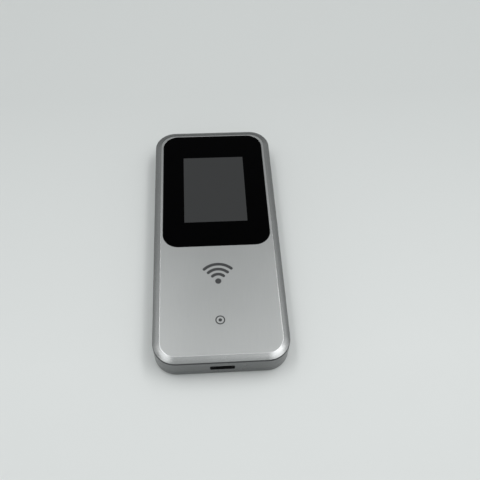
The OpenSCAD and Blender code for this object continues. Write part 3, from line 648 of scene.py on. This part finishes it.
def usb_inlet():
    """Rubber surround, receptacle shell with a rolled mouth, and the contact tongue with its pads."""
    surround = Piece("inlet_surround")
    outside = wall_rings(near_wall, 0, USB_Z, USB_SLOT_W, USB_SLOT_H, USB_SLOT_R, [
        (-0.02, 2.25), (0.78, 2.25), (0.78, 1.65), (-0.02, 1.65), (-0.02, 0.7), (-0.15, 0.6),
    ])
    inside = wall_rings(near_wall, 0, USB_Z, SHELL_W, SHELL_H, SHELL_R, [
        (0.3, 0.6), (0.01, 0.9), (0.01, 2.25),
    ])
    surround.skin(outside + inside, closed=True)
    mount(surround.make([RUBBER]), "main", "rubber_black", "usb_gasket")

    shell = Piece("inlet_shell")
    shell.skin(wall_rings(near_wall, 0, USB_Z, SHELL_W, SHELL_H, SHELL_R, section([
        (-1.2, SHELL_BACK, 0), (0, SHELL_BACK, 0.2),
        (0, SHELL_MOUTH, 0.12), (-SHELL_T, SHELL_MOUTH, 0.14),
        (-SHELL_T, SHELL_BACK - SHELL_T, 0), (-1.2, SHELL_BACK - SHELL_T, 0),
    ])))
    half_w, half_h = (SHELL_W - SHELL_T) / 2, (SHELL_H - SHELL_T) / 2
    # Painted shade: the inside faces of the shell, behind its mouth, take the dark steel.
    shell.paint(1, lambda at, normal: at.y > SHELL_MOUTH - HALF_L + 0.15
                and abs(at.x) < half_w and abs(at.z - USB_Z) < half_h)
    mount(shell.make([SHIELD, INLET_PAINTED_SHADE]), "main", "shield_steel", "usb_shell")

    tongue = Piece("inlet_tongue")
    tongue_low, tongue_high = box_mm("usb_tongue")
    tongue.block((-3.4, tongue_low.y, USB_Z - 0.35), (3.4, tongue_high.y - 0.6, USB_Z + 0.35), 0.12)
    tongue.skin(wall_rings(near_wall, 0, USB_Z, SHELL_W - 0.7, SHELL_H - 0.7, 1.15,
                           [(0, SHELL_BACK - 1.5), (0, SHELL_BACK - SHELL_T)]))
    mount(tongue.make([BLACK_PLASTIC]), "main", "connector_black", "usb_tongue")

    pads = Piece("inlet_contacts")
    for row in (-1, 1):
        z = USB_Z + row * 0.36
        for k in range(PAD_COUNT):
            x = (k - (PAD_COUNT - 1) / 2) * PAD_PITCH
            pads.block((x - PAD_W / 2, tongue_low.y + 0.4, z - 0.03),
                       (x + PAD_W / 2, tongue_low.y + 3.6, z + 0.03), 0.02)
    mount(pads.make([GOLD]), "main", "contact_gold")


def power_key():
    """Side key with a crowned face and the flange that keeps it in its slot."""
    key = Piece("power_key")
    crown = [(-1.2, 0), (-0.75, 0.03), (-0.4, 0.1), (-0.17, 0.21), (-0.04, 0.36), (0, 0.55)]
    flange = [(0, 0.6), (0.7, 0.6), (0.8, 0.5), (0.8, 0.1), (0.7, 0)]
    profile = [(out, -KEY_OUT + drop) for out, drop in crown]
    profile += [(out, KEY_DEPTH - rise) for out, rise in flange]
    key.skin(wall_rings(right_wall, KEY_Y, KEY_Z, KEY_L, KEY_H, KEY_H / 2 - 0.05, profile, 12))
    mount(key.make([SILVER_WALL_PAINTED_SHADE]), "power_button", "case_silver", "power_button")


# Everything that keeps its CAD shape: a finish, and the width in mm of the bevel on its edges

FINISH = {
    "left_port_cover": (SILVER_WALL_PAINTED_SHADE, 0.16), "right_port_cover": (SILVER_WALL_PAINTED_SHADE, 0.16),
    "graphite_sheet": (GRAPHITE, 0.03), "rear_frame": (CHASSIS, 0.12),
    "lens_adhesive": (RUBBER, 0.03), "lcd_panel": (PANEL, 0.08), "lcd_backlight": (NATURAL, 0.08),
    "display_frame": (SPRING, 0.05), "lcd_gasket": (RUBBER, 0.04), "lcd_flex": (FLEX, 0.02),
    "lcd_connector": (BLACK_PLASTIC, 0.08), "main_pcb": (BOARD, 0.05), "modem_chip": (CHIP, 0.06),
    "processor_chip": (CHIP, 0.06), "memory_chip": (CHIP, 0.05), "wifi_chip": (CHIP, 0.05),
    "modem_shield": (SHIELD, 0.08), "radio_shield": (SHIELD, 0.08), "thermal_pad": (PAD, 0.1),
    "heat_spreader": (SPREADER, 0.06), "left_antenna_jack": (GOLD, 0.12),
    "right_antenna_jack": (GOLD, 0.12), "left_jack_insulator": (NATURAL, 0.08),
    "right_jack_insulator": (NATURAL, 0.08), "port_cover_pins": (SPRING, 0.05),
    "power_switch": (SHIELD, 0.08), "reset_switch": (BLACK_PLASTIC, 0.08),
    "sim_socket": (SHIELD, 0.05), "battery_connector": (BLACK_PLASTIC, 0.1),
    "far_antenna": (CHASSIS, 0.1), "near_left_antenna": (CHASSIS, 0.1),
    "near_right_antenna": (CHASSIS, 0.1), "left_wifi_antenna": (FLEX, 0.03),
    "right_wifi_antenna": (FLEX, 0.03), "nfc_coil": (FLEX, 0.02), "nfc_ferrite": (GRAPHITE, 0.03),
    "case_screws": (SCREW, 0.06), "id_label": (PAPER, 0.01), "battery_cell": (FOIL, 0.4),
    "battery_cap": (BLACK_PLASTIC, 0.25), "battery_contacts": (GOLD, 0.03),
    "battery_label": (LABEL, 0.015), "power_plunger": (BLACK_PLASTIC, 0.08),
    "reset_plunger": (NATURAL, 0.1),
}


def dress(node, material, edge):
    """Gives a CAD node its material and a small bevel. Its mesh and place stay as they are."""
    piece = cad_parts[node]
    piece.data.materials.clear()
    piece.data.materials.append(material)
    bevel = piece.modifiers.new("edge", "BEVEL")
    bevel.width = edge * MM
    bevel.segments = 2
    bevel.limit_method = "ANGLE"
    bevel.angle_limit = math.radians(50)
    bevel.harden_normals = False
    weighted = piece.modifiers.new("weighted", "WEIGHTED_NORMAL")
    weighted.keep_sharp = True


# The stage, in metres

FLOOR_SIZE = 30
# The floor's near and far colours: painted light falloff, brighter on the near side and darker on the
# far side.
FLOOR_FAR, FLOOR_NEAR = (0.665, 0.685, 0.68), (0.775, 0.795, 0.79)
FLOOR_PAINTED_FALLOFF = (-0.08, 0.13)     # y over which the floor goes from its near to its far colour

# Brightness of the sky for each height z of a direction, from the horizon (0) to overhead (1).
SKY_TINT = (0.96, 0.99, 0.985)
SKY_HIGH = [(0.53, 0.20), (0.61, 0.34), (0.68, 0.45), (0.84, 0.43), (0.92, 0.62), (1.0, 0.62)]
SKY_AROUND = [
    (0.0, 0.365), (0.03, 0.39), (0.12, 0.60), (0.25, 0.60), (0.37, 0.52), (0.45, 0.34),
] + SKY_HIGH
SKY_FAR = [(0.0, 0.32), (0.05, 0.28), (0.16, 0.20), (0.40, 0.22)] + SKY_HIGH
SKY_TURN = (0.55, 0.90)        # y of a direction over which the sky goes from SKY_AROUND to SKY_FAR

# Area lamps: name, direction from the origin, size (across, along Y) and radiance.
LIGHT_DISTANCE = 1.2
LIGHTS = [
    ("soft_left", (-0.30, 0.26, 0.92), (0.16, 0.7), 4.8),
    ("broad_left", (-0.42, -0.05, 0.905), (0.42, 0.8), 1.3),
    ("soft_right", (0.39, 0.24, 0.89), (0.18, 0.7), 5.0),
    ("broad_right", (0.42, -0.17, 0.89), (0.60, 0.56), 1.75),
    ("left_fill", (-0.62, 0.22, 0.74), (0.34, 0.5), 0.35),
    ("right_fill", (0.62, 0.18, 0.75), (0.34, 0.5), 0.45),
    ("overhead", (0.14, 0.06, 0.985), (0.70, 0.42), 0.8),
]

CAMERA_ANGLES = (56.46, 5.54, 2.53)    # elevation, yaw and roll in degrees
CAMERA_TARGET = Vector((14.17, 4.37, 0)) * MM
CAMERA_DISTANCE = 370.52       # this and the next two in millimetres
SENSOR, LENS = 36, 46.18


def floor():
    """Pale plane under the part, with painted light falloff: a little darker on the far side."""
    bpy.ops.mesh.primitive_plane_add(size=FLOOR_SIZE)
    plane = bpy.context.object
    plane.name = "floor"
    s = Shader("floor_paint")
    s.uniform(Metallic=0.0, Specular_IOR_Level=0.2)
    # Painted light falloff: the floor's colour goes from its near to its far colour along y.
    nearness = s.spread(s.axis("Y"), 1.0, 0.0, *FLOOR_PAINTED_FALLOFF)
    s.colour(s.plus(nearness, s.noise(3, 2.0), 0.08), FLOOR_FAR, FLOOR_NEAR, 0.04, 1.04)
    s.roughness(s.noise(40), 0.5, 0.6)
    plane.data.materials.append(s.material)


def lamps():
    for name, direction, size, radiance in LIGHTS:
        light = bpy.data.lights.new(name, "AREA")
        light.shape = "RECTANGLE"
        light.size, light.size_y = size
        light.energy = radiance * math.pi * size[0] * size[1]
        light.color = (1.0, 1.0, 1.0)
        lamp = bpy.data.objects.new(name, light)
        bpy.context.scene.collection.objects.link(lamp)
        away = Vector(direction).normalized()
        across = Vector((0, 1, 0)).cross(away).normalized()
        lamp.matrix_world = Matrix((across, away.cross(across), away)).transposed().to_4x4()
        lamp.matrix_world.translation = away * LIGHT_DISTANCE


def sky():
    """Studio surround: its brightness changes with height, and is lower on the far side."""
    world = bpy.data.worlds.new("sky")
    world.use_nodes = True
    nodes, links = world.node_tree.nodes, world.node_tree.links
    coords = nodes.new("ShaderNodeTexCoord")
    split = nodes.new("ShaderNodeSeparateXYZ")
    links.new(coords.outputs["Generated"], split.inputs["Vector"])
    blend = nodes.new("ShaderNodeMix")
    blend.data_type = "RGBA"
    sides = [socket for socket in blend.inputs if socket.type == "RGBA"]
    for levels, side in zip((SKY_AROUND, SKY_FAR), sides):
        height = nodes.new("ShaderNodeValToRGB")
        stops = height.color_ramp.elements
        stops.remove(stops[1])
        for i, (z, level) in enumerate(levels):
            stop = stops[0] if i == 0 else stops.new(z)
            stop.position = z
            stop.color = (*(level * tint for tint in SKY_TINT), 1)
        links.new(split.outputs["Z"], height.inputs["Fac"])
        links.new(height.outputs["Color"], side)
    turn = nodes.new("ShaderNodeMapRange")
    turn.interpolation_type = "SMOOTHSTEP"
    turn.inputs["From Min"].default_value, turn.inputs["From Max"].default_value = SKY_TURN
    links.new(split.outputs["Y"], turn.inputs["Value"])
    links.new(turn.outputs["Result"], blend.inputs["Factor"])
    mixed = [socket for socket in blend.outputs if socket.type == "RGBA"][0]
    links.new(mixed, nodes["Background"].inputs["Color"])
    bpy.context.scene.world = world


def camera():
    """Looks down along the length, a little from the left, with the picture turned slightly."""
    elevation, yaw, roll = (math.radians(a) for a in CAMERA_ANGLES)
    flat = math.cos(elevation)
    back = Vector((-math.sin(yaw) * flat, -math.cos(yaw) * flat, math.sin(elevation)))
    level = Vector((0, 0, 1)).cross(back).normalized()
    right = math.cos(roll) * level + math.sin(roll) * back.cross(level)
    up = back.cross(right)
    lens = bpy.data.cameras.new("camera")
    lens.sensor_width = SENSOR
    lens.lens = LENS
    lens.clip_start = 0.01
    view = bpy.data.objects.new("camera", lens)
    bpy.context.scene.collection.objects.link(view)
    place = Matrix((right, up, back)).transposed().to_4x4()
    place.translation = CAMERA_TARGET + back * CAMERA_DISTANCE * MM
    view.matrix_world = place
    bpy.context.scene.camera = view


camera()
floor()
sky()
lamps()
face_plate()
wall_ring()
back_shell()
window_glass()
face_marks()
usb_inlet()
power_key()
for node, (material, edge) in FINISH.items():
    dress(node, material, edge)
bpy.context.scene.view_settings.view_transform = "Standard"
